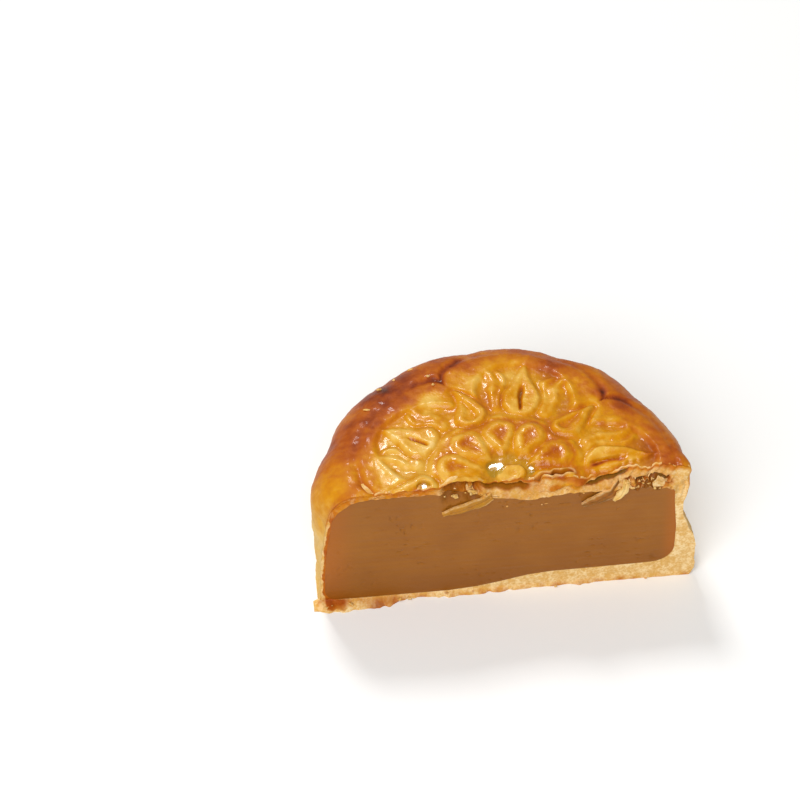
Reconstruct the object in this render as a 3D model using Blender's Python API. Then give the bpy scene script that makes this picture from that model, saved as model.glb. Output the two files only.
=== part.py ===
"""Half of a round mooncake filled with lotus seed paste, cut face towards -Y.

Two solids for Blender 4.5: the moulded, baked pastry and the block of paste inside it.
Shapes are worked out in millimetres and scaled to metres, +Z up. The origin is where the
round cake's axis meets its flat base.
"""

import math

import bmesh
import bpy
import numpy as np

METRES = 0.001

# Driving dimensions of the round cake, in millimetres.
CAKE_RADIUS = 41.0
CAKE_HEIGHT = 35.4
CUT_Y = -2.5
DOME_RISE = 0.9
DOME_RADIUS = 34.0
PRESSED_DOWN = 1.3
FIT_GAP = 0.3

# The mould's side: lobes with a crease between each two.
LOBES = 12
LOBE_DEPTH = 0.9
FIRST_CREASE = math.radians(66.0)
PRESSED_IN = 0.8
PRESSED_AT = math.radians(22.0)
SHOULDER_RADIUS = 9.0
TORN_SHOULDER_RADIUS = 3.0

# The mould's flower: its middle, the ring of seeds, and the lotus petals in their arches.
FLOWER_X = 0.5
FLOWER_Y = 0.2
SEEDS = 10
PETALS = 5
FIRST_PETAL = math.radians(76.5)
HALF_PETAL = math.pi / PETALS
ARCH_MIDDLE = 21.0
ARCH_RADIUS = 11.0
NOTCH_RADIUS = 30.0
ARCH_RISE = 6.2
BAKED_SOFTNESS = 0.8

# Outlines of the cut across the slice, as (x, z) points, and of its two ends, as (z, offset) points.
PASTE_TOP = ((-28, 34.8), (-16, 34.8), (-9, 33.4), (0, 31.7), (5, 30.5), (13, 31.7), (30, 31.2), (37, 30.8))
PASTE_BOTTOM = ((-38, 1.0), (-12, 1.1), (-5, 1.8), (0, 3.0), (5, 4.3), (10, 4.9), (30, 5.2), (37, 5.6))
LEFT_END = ((0, -0.3), (10, -0.3), (15, -0.5), (20, -1.0), (25, -1.6), (36, -2.2))
LEFT_SIDE = ((0, -0.9), (5, -0.6), (10, -0.1), (20, 0.6), (28, 0.7), (36, 0.4))
RIGHT_END = ((0, -0.6), (2, 0.9), (4, 1.5), (10, 1.1), (14, 0.2), (17, -0.7), (20, -1.8), (26, -2.2), (32, -1.0), (36, -0.6))
LEFT_PASTE = ((0, 1.2), (10, 1.3), (15, 1.5), (20, 2.0), (25, 2.7), (35, 3.2))
RIGHT_PASTE = ((0, 3.6), (17, 3.5), (26, 4.3), (35, 4.6))
LEDGE = (
    ((-42.2, 0.2), (-41.2, 1.9), (-38, 2.9), (-33, 2.7), (-28, 2.4), (-25, 2.2), (-22.8, 0.9), (-20, 0.4))
    + ((-13.5, 1.0), (-10, 0.9), (-4, 0.7), (1, 0.6), (6, 0.3), (15, 0.3), (17.4, 0.7), (20, 0.2), (40, 0.2))
)
LEDGE_HEIGHT = 0.9
INNER_CEILING = 3.2
INNER_FLOOR = 2.6
INNER_WALL = 2.6
THINNEST_TOP = 1.2

# How finely the solids are divided.
FAN_STEPS = 94
PASTE_FAN_STEPS = 18
TOP_RINGS = 28
SHOULDER_RINGS = 6
WALL_RINGS = 5
FOOT_RINGS = 3
BASE_RINGS = 2
CUT_ROWS = 5


def smooth(low, high, value):
    """0 at low, 1 at high, and an S-curve between; low may be the larger."""
    share = np.clip((value - low) / (high - low), 0, 1)
    return share * share * (3 - 2 * share)


def ridge(distance, width):
    """A rounded ridge, 1 where distance is 0 and nearly 0 at two widths from it."""
    return np.exp(-((distance / width) ** 2))


def along_points(points, value):
    """The height of a broken line through the given points."""
    places, heights = zip(*points)
    return np.interp(value, places, heights)


def from_middle(angle, count, first):
    """Angle from the middle of the nearest of count equal sectors, one of which is centred on first."""
    step = 2 * math.pi / count
    return (angle - first + step / 2) % step - step / 2


def drop_distance(along, across, start, start_radius, end, end_radius):
    """Signed distance to a drop, two circles on one line and their common tangents; negative inside."""
    length = end - start
    lean = (start_radius - end_radius) / length
    rise = math.sqrt(1 - lean * lean)
    forward = along - start
    aside = np.abs(across)
    place = rise * forward - lean * aside
    flank = rise * aside + lean * forward - start_radius
    near_start = np.hypot(forward, aside) - start_radius
    near_end = np.hypot(forward - length, aside) - end_radius
    return np.where(place < 0, near_start, np.where(place > rise * length, near_end, flank))


def button(radius):
    """The flower's middle: a dimpled knob in a sunken ring."""
    knob = 1.3 * smooth(3.0, 2.0, radius) - 0.5 * ridge(radius, 0.9)
    return knob - 0.7 * smooth(18.6, 16.8, radius)


def seeds(radius, angle):
    """The ring of seeds: raised drops whose rims are higher than their middles."""
    turn = from_middle(angle, SEEDS, FIRST_PETAL + HALF_PETAL / 2)
    edge = drop_distance(radius * np.cos(turn), radius * np.sin(turn), 5.6, 0.4, 11.9, 3.2)
    return 0.7 * smooth(0.5, -0.5, edge) + 0.7 * ridge(edge + 0.8, 0.7) - 0.4 * smooth(-1.4, -2.2, edge)


def lotus(radius, angle):
    """The five lotus petals, each slit down its middle and standing in a sunken arch."""
    turn = from_middle(angle, PETALS, FIRST_PETAL)
    along, across = radius * np.cos(turn), radius * np.sin(turn)
    arch = np.hypot(along - ARCH_MIDDLE, across) - ARCH_RADIUS
    inside = smooth(0.5, -0.9, arch) * smooth(16.2, 17.6, radius)
    petal = drop_distance(along, across, 20.6, 3.9, 31.0, 0.4)
    slit = ridge(across, 0.6) * smooth(17.0, 18.6, along) * smooth(26.5, 24.0, along)
    rim = 0.7 * ridge(arch - 0.6, 1.0) * smooth(15.8, 18.0, radius)
    frill = 0.45 * ridge(arch + 4.0, 0.8) * smooth(0.6, 1.8, petal)
    raised = 0.95 * smooth(0.5, -0.5, petal) + 0.45 * ridge(petal + 0.6, 0.6) - 1.1 * slit
    return inside * (raised + frill - 1.0) + rim


def leaves(radius, angle):
    """A small leaf in each gap between two arches."""
    turn = from_middle(angle, PETALS, FIRST_PETAL + HALF_PETAL)
    edge = drop_distance(radius * np.cos(turn), radius * np.sin(turn), 16.8, 1.4, 20.4, 2.3)
    return 0.9 * ridge(edge + 0.3, 0.7) - 0.35 * smooth(-0.8, -1.6, edge)


def arch_line(radius, angle):
    """The crease that runs over the five arches and dips between them."""
    turn = from_middle(angle, PETALS, FIRST_PETAL) / HALF_PETAL
    line = NOTCH_RADIUS + ARCH_RISE * np.sqrt(1 - turn * turn)
    return -0.75 * ridge(radius - line, 0.8)


def mould(x, y):
    """Height of the mould's flower over the plain top of the cake."""
    radius = np.hypot(x - FLOWER_X, y - FLOWER_Y)
    angle = np.arctan2(y - FLOWER_Y, x - FLOWER_X)
    moulded = button(radius) + seeds(radius, angle) + lotus(radius, angle)
    return moulded + leaves(radius, angle) + arch_line(radius, angle)


def relief(x, y):
    """Height of the baked flower: the mould's, softened by its mean over a small disc round each point."""
    total = mould(x, y)
    for share, count in ((0.55, 6), (1.0, 10)):
        for step in range(count):
            turn = 2 * math.pi * step / count
            reach_out = share * BAKED_SOFTNESS
            total = total + mould(x + reach_out * math.cos(turn), y + reach_out * math.sin(turn))
    return total / 17


def plain_top(x, y):
    """The low dome of the cake's top, sunk in the middle of the cut where the knife pressed it."""
    dome = DOME_RISE * np.clip(1 - (x * x + y * y) / DOME_RADIUS**2, 0, 1)
    pressed = PRESSED_DOWN * ridge(y - CUT_Y, 5.0) * smooth(-14, -2, x) * smooth(32, 18, x)
    return CAKE_HEIGHT + dome - pressed


def reach(fan):
    """Distance from the middle of the cut to the moulded side, in the direction fan."""
    plain = -CUT_Y * np.sin(fan) + np.sqrt(CAKE_RADIUS**2 - (CUT_Y * np.cos(fan)) ** 2)
    around = np.arctan2(plain * np.sin(fan) + CUT_Y, plain * np.cos(fan))
    crease = 1 - np.abs(np.sin(LOBES * (around - FIRST_CREASE) / 2))
    return plain - LOBE_DEPTH * crease - PRESSED_IN * ridge(around - PRESSED_AT, 0.4)


def near_right(fan, width=0.2):
    """1 at the right end of the cut, fading away round the cake."""
    return np.exp(-((fan / width) ** 2))


def near_left(fan, width=0.45):
    """1 at the left end of the cut, fading away round the cake."""
    return np.exp(-(((math.pi - fan) / width) ** 2))


def wall_offset(fan, z):
    """How far the side stands out from the mould's outline: it bellies, sags in folds and was torn at the cut."""
    belly = 0.5 * np.sin(math.pi * z / CAKE_HEIGHT)
    folds = 0.35 * np.sin(0.45 * z + 2.2 * np.sin(3 * fan)) * smooth(28, 20, z)
    right, left, edge = near_right(fan), near_left(fan), near_left(fan, 0.09)
    plain = (belly + folds) * (1 - right) * (1 - left) + left * along_points(LEFT_SIDE, z)
    return (1 - edge) * plain + right * along_points(RIGHT_END, z) + edge * along_points(LEFT_END, z)


def shoulder_radius(fan):
    """The top edge is well rounded except where the cut tore it, at the right."""
    return TORN_SHOULDER_RADIUS + (SHOULDER_RADIUS - TORN_SHOULDER_RADIUS) * smooth(0.0, 0.5, fan)


def torn_back(x, y):
    """How far the glazed top is torn back from the cut, most of all at the right."""
    close = np.exp(-(((y - CUT_Y) / 4.5) ** 2))
    return close * (0.3 + 2.3 * smooth(-4, 30, x) + 0.35 * np.sin(0.9 * x) * np.sin(0.37 * x + 1))


def fan_points(fan, distance, z):
    """Points at a distance from the middle of the cut, in the direction fan, at height z."""
    return np.stack([distance * np.cos(fan), CUT_Y + distance * np.sin(fan), z], axis=-1)


def pastry_profile(fan):
    """The pastry's outside for each direction: out over the top, down the side and in under the base."""
    fan = fan[:, None]
    edge, round_radius = reach(fan), shoulder_radius(fan)

    out = (edge - round_radius) * np.linspace(0, 1, TOP_RINGS + 1)
    x, y = out * np.cos(fan), CUT_Y + out * np.sin(fan)
    top = fan_points(fan, out, plain_top(x, y) + relief(x, y))

    tilt = np.linspace(0, math.pi / 2, SHOULDER_RINGS + 1)[1:]
    out = edge - round_radius * (1 - np.sin(tilt))
    x, y = out * np.cos(fan), CUT_Y + out * np.sin(fan)
    z = CAKE_HEIGHT - round_radius * (1 - np.cos(tilt))
    pressed = relief(x, y) * np.cos(tilt) ** 0.5
    out = out + wall_offset(fan, z) * np.sin(tilt) ** 2 + pressed * np.sin(tilt)
    shoulder = fan_points(fan, out, z + pressed * np.cos(tilt))

    foot_height = 3.0
    z = foot_height + (CAKE_HEIGHT - round_radius - foot_height) * np.linspace(1, 0, WALL_RINGS + 1)[1:]
    wall = fan_points(fan, edge + wall_offset(fan, z), z)

    z = np.broadcast_to(foot_height * np.linspace(1, 0, FOOT_RINGS + 1)[1:], wall[:, :FOOT_RINGS, 2].shape)
    foot = fan_points(fan, edge + wall_offset(fan, z) + 0.5 * smooth(foot_height, 0, z), z)

    out = (edge + wall_offset(fan, 0 * edge) + 0.5) * np.linspace(1, 0, BASE_RINGS + 1)[1:]
    base = fan_points(fan, out, 0 * out)

    grid = np.concatenate([top, shoulder, wall, foot, base], axis=1)
    topmost = smooth(CAKE_HEIGHT - 9, CAKE_HEIGHT - 2, grid[..., 2])
    grid[..., 1] += torn_back(grid[..., 0], grid[..., 1]) * topmost
    return grid


def paste_profile(fan, inset):
    """The paste's skin, or the pastry's inner wall, for each direction. inset shrinks it evenly."""
    fan = fan[:, None]
    right, left = near_right(fan, 0.35), near_left(fan, 0.35)
    inner = 1 - np.maximum(right, left)
    top_corner = 6.5 - 4.0 * right + 1.5 * left - inset
    low_corner = 4.0 + 1.0 * right - 1.0 * left - inset

    def wall(z):
        torn = right * along_points(RIGHT_PASTE, z) + left * along_points(LEFT_PASTE, z)
        return reach(fan) - INNER_WALL * inner - torn - inset

    def at_cut(points, level, x, y):
        close = np.exp(-(((y - CUT_Y) / 6.0) ** 2))
        return level + (along_points(points, x) - level) * close

    def ceiling(out):
        x, y = out * np.cos(fan), CUT_Y + out * np.sin(fan)
        level = at_cut(PASTE_TOP, CAKE_HEIGHT - INNER_CEILING, x, y)
        return np.minimum(level, plain_top(x, y) + relief(x, y) - THINNEST_TOP) - inset

    def floor(out):
        x, y = out * np.cos(fan), CUT_Y + out * np.sin(fan)
        return at_cut(PASTE_BOTTOM, INNER_FLOOR, x, y) + inset

    out = (wall(CAKE_HEIGHT) - top_corner) * np.linspace(0, 1, TOP_RINGS + 1)
    top = fan_points(fan, out, ceiling(out))

    tilt = np.linspace(0, math.pi / 2, SHOULDER_RINGS + 1)[1:]
    z_top = ceiling(out[:, -1:]) - top_corner
    z = z_top + top_corner * np.cos(tilt)
    shoulder = fan_points(fan, wall(z) - top_corner * (1 - np.sin(tilt)), z)

    end = wall(0 * fan) - low_corner
    z_low = floor(end) + low_corner
    z = z_top + (z_low - z_top) * np.linspace(0, 1, WALL_RINGS + 1)[1:]
    side = fan_points(fan, wall(z), z)

    tilt = np.linspace(0, math.pi / 2, FOOT_RINGS + 1)[1:]
    z = z_low - low_corner * np.sin(tilt)
    corner = fan_points(fan, wall(z) - low_corner * (1 - np.cos(tilt)), z)

    out = end * np.linspace(1, 0, BASE_RINGS + 1)[1:]
    bottom = fan_points(fan, out, floor(out))
    return np.concatenate([top, shoulder, side, corner, bottom], axis=1)


def cut_loop(grid):
    """The closed edge of a half shell in the plane of the cut: down its right end and up its left."""
    return np.concatenate([grid[0], grid[-1][-2:0:-1]])


def torn_rows(outer, inner):
    """The pastry's cut edge between two loops: its layers stand forward and gape where they came apart."""
    share = np.linspace(0, 1, CUT_ROWS + 1)[:, None]
    rows = outer + (inner - outer) * share[..., None]
    thick = np.linalg.norm(inner - outer, axis=1)
    x, z = rows[..., 0], rows[..., 2]
    over = smooth(20, 27, z)
    layer = ridge(share - 0.4, 0.12)
    gape = smooth(-11, -9, x) * smooth(3, 1, x) + smooth(13, 15, x) * smooth(25, 22, x)
    lips = ridge(share - 0.2, 0.15) + ridge(share - 0.7, 0.15)
    crumbly = np.sin(1.7 * x + 2.3 * z) * np.sin(1.1 * z - 0.6 * x)
    room = np.clip(thick / 4.0, 0, 1) * np.sqrt(np.abs(np.sin(math.pi * share)))
    rows[..., 1] += room * (1.6 * over * gape * layer - 0.7 * over * lips + 0.3 * crumbly)
    return rows


def grid_faces(first, rows, columns):
    """Quads of a grid of points numbered row by row from first."""
    corner = first + np.arange(rows - 1)[:, None] * columns + np.arange(columns - 1)
    return np.stack([corner, corner + 1, corner + columns + 1, corner + columns], axis=-1).reshape(-1, 4)


def solid_from_grids(name, grids, material):
    """One closed object from grids of points that meet along their edges."""
    points = np.concatenate([grid.reshape(-1, 3) for grid in grids]) * METRES
    faces, first = [], 0
    for grid in grids:
        rows, columns = grid.shape[:2]
        faces.append(grid_faces(first, rows, columns))
        first += rows * columns
    mesh = bpy.data.meshes.new(name)
    mesh.from_pydata(points.tolist(), [], np.concatenate(faces).tolist())
    shape = bmesh.new()
    shape.from_mesh(mesh)
    bmesh.ops.remove_doubles(shape, verts=shape.verts, dist=1e-7)
    bmesh.ops.holes_fill(shape, edges=[edge for edge in shape.edges if edge.is_boundary], sides=0)
    bmesh.ops.recalc_face_normals(shape, faces=shape.faces)
    shape.to_mesh(mesh)
    shape.free()
    mesh.shade_smooth()
    mesh.set_sharp_from_angle(angle=math.radians(50))
    mesh.materials.append(material)
    thing = bpy.data.objects.new(name, mesh)
    bpy.context.scene.collection.objects.link(thing)
    return thing


def flake(name, tip, edge, root, width, material):
    """A thin leaf of pastry in front of the paste: from its tip up over the edge of the paste to its root."""
    path = np.array([tip, edge, root], float)
    way = path[1] - path[0]
    aside = np.cross(way, (0, 1, 0))
    aside = aside / np.linalg.norm(aside)
    share = np.array([0, 0.15, 0.3, 0.5, 0.7, 0.85, 1.0])
    middle = path[0] + way * share[:, None]
    middle = np.concatenate([middle, path[2:]])[:, None]
    across = np.linspace(-1, 1, 5)[:, None]
    half = 0.5 * width * np.array([0.3, 0.65, 0.85, 1.0, 0.95, 0.85, 0.8, 0.8])[:, None, None]
    curl = np.array([0.0, 0.2, 0.4, 0.5, 0.4, 0.2, 0.0, 0.0])[:, None] * (1 - across[:, 0] ** 2)
    middle = middle + aside * half * across
    front, back = middle.copy(), middle.copy()
    front[..., 1] -= 0.55 + curl
    back[..., 1] += 0.1
    rim = [np.stack([front[0], back[0]]), np.stack([front[-1], back[-1]])]
    rim += [np.stack([front[:, 0], back[:, 0]]), np.stack([front[:, -1], back[:, -1]])]
    return solid_from_grids(name, [front, back, *rim], material)


def ledge(name, material):
    """The ragged lip of base pastry that the knife pushed out in front of the cut."""
    x = np.linspace(LEDGE[0][0], LEDGE[-1][0], 46)
    out = along_points(LEDGE, x) + 0.12 * np.sin(2.9 * x) * np.sin(1.3 * x + 0.7)
    high = LEDGE_HEIGHT * (1 + 0.25 * np.sin(2.1 * x) * np.sin(0.8 * x + 2))
    front = CUT_Y - np.clip(out, 0.12, None)
    section = ((1.4, 0.03), (0, 0.03), (0, 0.35), (0.35, 0.75), (0.7, 1.0), (1.4, 1.0))
    rows = []
    for share, level in section:
        y = CUT_Y + 0.9 * (share == 1.4) + (front - CUT_Y) * (1 - min(share, 1.0))
        rows.append(np.stack([x, y, level * high if level > 0.1 else 0 * x + level], axis=-1))
    body = np.stack(rows + rows[:1])
    return solid_from_grids(name, [body], material)


def join(body, pieces):
    """Fuses the pieces into the body with one Boolean union, applied, and removes them."""
    group = bpy.data.collections.new("fused")
    bpy.context.scene.collection.children.link(group)
    for piece in pieces:
        bpy.context.scene.collection.objects.unlink(piece)
        group.objects.link(piece)
    union = body.modifiers.new("fuse", "BOOLEAN")
    union.operation = "UNION"
    union.operand_type = "COLLECTION"
    union.collection = group
    union.solver = "EXACT"
    graph = bpy.context.evaluated_depsgraph_get()
    joined = bpy.data.meshes.new_from_object(body.evaluated_get(graph))
    body.modifiers.clear()
    body.data = joined
    for piece in pieces:
        bpy.data.objects.remove(piece)
    bpy.data.collections.remove(group)


def matter(name, colour, roughness, coat=0.0):
    """A Principled material of one colour."""
    material = bpy.data.materials.new(name)
    material.use_nodes = True
    shader = material.node_tree.nodes["Principled BSDF"]
    shader.inputs["Base Color"].default_value = (*colour, 1)
    shader.inputs["Roughness"].default_value = roughness
    shader.inputs["Coat Weight"].default_value = coat
    return material


def make_pastry(material):
    """The baked shell, with the torn edge that the cut left and the flakes that hang from it."""
    outside = pastry_profile(np.linspace(0, math.pi, FAN_STEPS + 1))
    inside = paste_profile(np.linspace(0, math.pi, PASTE_FAN_STEPS + 1), 0.0)
    rows = torn_rows(cut_loop(outside), cut_loop(inside))
    rows = np.concatenate([rows, rows[:, :1]], axis=1)
    body = solid_from_grids("pastry", [outside, inside, rows], material)
    front, back = CUT_Y - FIT_GAP - 0.15, CUT_Y + 1.2
    left = ((-13.4, front, 27.6), (-5.4, front, 33.3), (-3.8, back, 34.2))
    right = ((15.8, front, 26.8), (22.6, front, 32.0), (24.2, back, 33.4))
    left_flake = flake("left_flake", *left, 2.4, material)
    right_flake = flake("right_flake", *right, 2.6, material)
    join(body, [left_flake, right_flake, ledge("ledge", material)])
    return body


def make_paste(material):
    """The block of lotus paste, a little smaller than the hollow in the pastry."""
    skin = paste_profile(np.linspace(0, math.pi, PASTE_FAN_STEPS + 1), FIT_GAP)
    return solid_from_grids("lotus_paste", [skin], material)


def main():
    for thing in list(bpy.data.objects):
        bpy.data.objects.remove(thing)
    pastry_finish = matter("glazed_pastry", (0.62, 0.27, 0.05), 0.35, 0.5)
    paste_finish = matter("lotus_paste", (0.35, 0.13, 0.03), 0.5)
    make_pastry(pastry_finish)
    make_paste(paste_finish)


main()
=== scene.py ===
# %% [markdown]
# # Half a lotus seed mooncake
#
# A mooncake is sweet paste in a thin baked pastry. A mould leaves a lotus flower on the top and
# lobes round the side, and egg is brushed on before it is baked. This one has been cut through
# the middle, so that its smooth lotus seed paste shows.
#
# A finished CAD model of the same half says how large everything is. The pieces made here give
# it its fine surface: the sharp flower, the torn pastry, the knife marks and the browning. They
# are worked out in millimetres, with x along the cut, y towards the back and z up.

# %% Load the CAD model
import math

import bpy
import numpy as np
from mathutils import Matrix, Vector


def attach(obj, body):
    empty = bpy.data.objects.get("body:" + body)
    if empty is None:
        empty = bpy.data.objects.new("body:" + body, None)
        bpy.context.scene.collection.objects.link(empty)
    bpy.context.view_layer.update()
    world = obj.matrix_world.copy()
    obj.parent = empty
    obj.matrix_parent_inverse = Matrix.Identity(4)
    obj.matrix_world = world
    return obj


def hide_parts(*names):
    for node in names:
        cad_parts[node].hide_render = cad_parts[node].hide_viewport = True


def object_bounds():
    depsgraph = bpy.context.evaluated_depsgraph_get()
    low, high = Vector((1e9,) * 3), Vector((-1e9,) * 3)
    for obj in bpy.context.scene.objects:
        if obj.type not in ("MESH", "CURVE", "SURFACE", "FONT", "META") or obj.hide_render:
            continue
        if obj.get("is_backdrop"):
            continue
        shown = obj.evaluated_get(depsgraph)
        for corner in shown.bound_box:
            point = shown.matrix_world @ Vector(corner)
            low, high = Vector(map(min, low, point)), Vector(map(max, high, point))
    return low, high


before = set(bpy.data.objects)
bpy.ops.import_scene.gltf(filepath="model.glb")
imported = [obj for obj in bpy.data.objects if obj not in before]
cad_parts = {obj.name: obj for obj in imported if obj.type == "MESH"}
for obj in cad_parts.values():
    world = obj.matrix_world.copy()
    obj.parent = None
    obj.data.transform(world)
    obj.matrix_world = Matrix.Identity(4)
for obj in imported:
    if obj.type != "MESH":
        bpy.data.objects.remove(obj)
cad_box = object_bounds()
MM = 0.001
print("CAD box:", cad_box)

# %% [markdown]
# ## The camera
#
# The photograph was taken with a long lens, about 49 degrees above the table and a little to the
# left of the cut. The camera is placed by where one known point falls in the picture: a point on
# the cake's axis, 15 mm above the base. The camera is moved sideways until it does, so that it
# needs no lens shift.

# %% Camera
PICTURE, FOCAL_PIXELS = 800.0, 3712.0
AIM, AIM_IN_PICTURE = np.array([0.0, 0.0, 15.0]), (503.8, 536.8)
CAMERA_DISTANCE = 800.0
TURN, TILT = math.radians(-5.95), math.radians(49.3)


def make_camera():
    """Axes from two angles; the place is the aim point plus the distance along the view, less the offset."""
    back = np.array([math.sin(TURN) * math.cos(TILT), -math.cos(TURN) * math.cos(TILT), math.sin(TILT)])
    right = np.array([math.cos(TURN), math.sin(TURN), 0.0])
    up = np.cross(back, right)
    per_pixel = CAMERA_DISTANCE / FOCAL_PIXELS
    across = (AIM_IN_PICTURE[0] - PICTURE / 2) * per_pixel
    down = (AIM_IN_PICTURE[1] - PICTURE / 2) * per_pixel
    place = (AIM + back * CAMERA_DISTANCE - right * across + up * down) * MM
    lens = bpy.data.cameras.new("camera")
    lens.sensor_width = 36.0
    lens.lens = FOCAL_PIXELS / PICTURE * lens.sensor_width
    lens.clip_start, lens.clip_end = 0.05, 20.0
    camera = bpy.data.objects.new("camera", lens)
    rows = [(*axes, where) for *axes, where in zip(right, up, back, place)]
    camera.matrix_world = Matrix([*rows, (0, 0, 0, 1)])
    bpy.context.scene.collection.objects.link(camera)
    bpy.context.scene.camera = camera
    return camera


camera = make_camera()
print("camera at", np.round(camera.matrix_world.translation, 3), "lens", round(camera.data.lens, 1))

# %% [markdown]
# ## Table and light
#
# Soft lamps show the gloss as small broken sparkles and throw no hard shadow. A small one hangs
# above and behind the cake and rakes across the flower, a wide one in front lights the cut, and
# the pale surroundings fill in the rest.

# %% Floor, lamps and surroundings
bpy.context.scene.view_settings.view_transform = "Standard"
LAMP_AIM = np.array([0, 0, 0.02])
SKY_COLOUR, SKY_STRENGTH = (1.0, 0.99, 0.97, 1), 0.26
FLOOR_COLOUR, FLOOR_EDGE = (0.93, 0.93, 0.92, 1), 2


def lamp(name, place, size, power):
    """A square lamp at place, turned to face the cake; sizes in metres, power in watts."""
    light = bpy.data.lights.new(name, "AREA")
    light.shape, light.size, light.energy = "SQUARE", size, power
    thing = bpy.data.objects.new(name, light)
    thing.location = place
    away = np.array(place) - LAMP_AIM
    level = math.hypot(away[0], away[1])
    thing.rotation_euler = (math.atan2(level, away[2]), 0, math.atan2(away[0], -away[1]))
    bpy.context.scene.collection.objects.link(thing)


def make_floor():
    """A pale square at the height of the cake's base, FLOOR_EDGE metres to each side."""
    mesh = bpy.data.meshes.new("floor")
    corners = [(x * FLOOR_EDGE, y * FLOOR_EDGE, 0) for x, y in ((-1, -1), (1, -1), (1, 1), (-1, 1))]
    mesh.from_pydata(corners, [], [(0, 1, 2, 3)])
    floor = bpy.data.objects.new("floor", mesh)
    paint = bpy.data.materials.new("pale_floor")
    paint.use_nodes = True
    shader = paint.node_tree.nodes["Principled BSDF"]
    shader.inputs["Base Color"].default_value = FLOOR_COLOUR
    shader.inputs["Roughness"].default_value = 0.9
    mesh.materials.append(paint)
    bpy.context.scene.collection.objects.link(floor)
    floor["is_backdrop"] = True


make_floor()
lamp("back_lamp", (-0.16, 0.62, 0.92), 0.2, 5.0)
lamp("front_lamp", (-0.35, -0.72, 1.0), 0.9, 13.5)
world = bpy.data.worlds.new("surroundings")
world.use_nodes = True
sky = world.node_tree.nodes["Background"].inputs
sky["Color"].default_value, sky["Strength"].default_value = SKY_COLOUR, SKY_STRENGTH
bpy.context.scene.world = world

# %% [markdown]
# ## Small tools for shaping
#
# Every surface below is worked out with numpy as whole arrays of points, from a few small
# functions: an S-curve from 0 to 1, a rounded ridge, a broken line through given points, and a
# smooth random field between -1 and 1, which blends fixed values at the corners of cubes.

# %% Curves and random fields


def smooth(low, high, value):
    """0 at low, 1 at high and the S-curve 3t^2 - 2t^3 between; low may be the larger."""
    share = np.clip((value - low) / (high - low), 0, 1)
    return share * share * (3 - 2 * share)


def ridge(distance, width):
    """exp(-(distance / width)^2): 1 on the line and nearly 0 two widths from it."""
    return np.exp(-((distance / width) ** 2))


def steps(count):
    """Even steps from 0 to 1, with both ends."""
    return np.linspace(0, 1, count + 1)


def join(*parts):
    """Points, or faces, from arrays of their separate numbers, spread to one shape."""
    return np.stack(np.broadcast_arrays(*parts), axis=-1)


def along_points(points, value):
    """The height of a broken line through the given points."""
    places, heights = zip(*points)
    return np.interp(value, places, heights)


def corner_value(i, j, k, seed):
    """A fixed value in -1 to 1 for each whole-numbered corner, from mixing the bits of its numbers."""
    mixed = (i * 374761393 + j * 668265263 + k * 1274126177 + seed * 974711) & 0xFFFFFFFF
    mixed = ((mixed ^ (mixed >> 13)) * 1103515245) & 0xFFFFFFFF
    return ((mixed ^ (mixed >> 16)) & 0xFFFF) / 32767.5 - 1


def wander(x, y, z, size, seed=0):
    """A smooth random field: corner values of cubes of the given size, blended by S-curves on each axis."""
    x, y, z = np.broadcast_arrays(np.asarray(x, float), y, z)
    cells = [np.floor(axis / size).astype(np.int64) for axis in (x, y, z)]
    shares = [smooth(0, 1, axis / size - cell) for axis, cell in zip((x, y, z), cells)]
    total = np.zeros(x.shape)
    for a, b, c in np.ndindex(2, 2, 2):
        weight = (shares[0] if a else 1 - shares[0]) * (shares[1] if b else 1 - shares[1])
        weight = weight * (shares[2] if c else 1 - shares[2])
        total += weight * corner_value(cells[0] + a, cells[1] + b, cells[2] + c, seed)
    return total


def crumble(x, y, z, size, seed=0):
    """Three random fields, each about half the size and half the height of the one before."""
    layers = enumerate(((0.55, 1), (0.3, 0.47), (0.15, 0.23)))
    return sum(height * wander(x, y, z, size * scale, seed + k) for k, (height, scale) in layers)


print("random field at three points:", np.round(wander(np.array([0, 1, 2]), 0.3, 0.7, 1.9), 3))

# %% [markdown]
# ## The mould's flower
#
# The mould's lotus flower has a button in the middle, a ring of ten seeds, and five petals that
# stand in round arches with little leaves between them. Each motif is a signed distance to its
# edge, and a short curve turns the distance into a height, so that a rim, a groove or a hollow is
# one line of arithmetic. Angles are folded, so a motif is written once and appears in each sector.

# %% Distances
FLOWER = (0.5, 0.2)
SEEDS, PETALS = 10, 5
HALF_PETAL = math.pi / PETALS
FIRST_PETAL = math.radians(76.5)
FIRST_SEED = FIRST_PETAL + HALF_PETAL / 2
ARCH_MIDDLE, ARCH_RADIUS = 21.0, 11.0
NOTCH_RADIUS, ARCH_RISE = 30.0, 6.2
ARCH_SHIFT = -2.6

# The crack that the knife opened in the top, as straight lines between places (x, y).
CRACKS = (((6.4, -2.5), (10.0, -1.3)), ((10.0, -1.3), (13.9, -0.4)))

# Pools of egg wash that mirror the lamps: place (x, y), radius, and slope towards the back.
SHINES = ((-1.9, 2.3, 1.9, -0.14), (-17.4, -1.5, 1.35, 0.03), (5.6, 1.2, 0.8, -0.16))


def from_middle(angle, count, first):
    """Angle from the middle of the nearest of count equal sectors, one of which is centred on first."""
    step = 2 * math.pi / count
    return (angle - first + step / 2) % step - step / 2


def sector(radius, angle, count, first):
    """Places along and across the middle line of the nearest of count equal sectors."""
    turn = from_middle(angle, count, first)
    return radius * np.cos(turn), radius * np.sin(turn)


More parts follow.
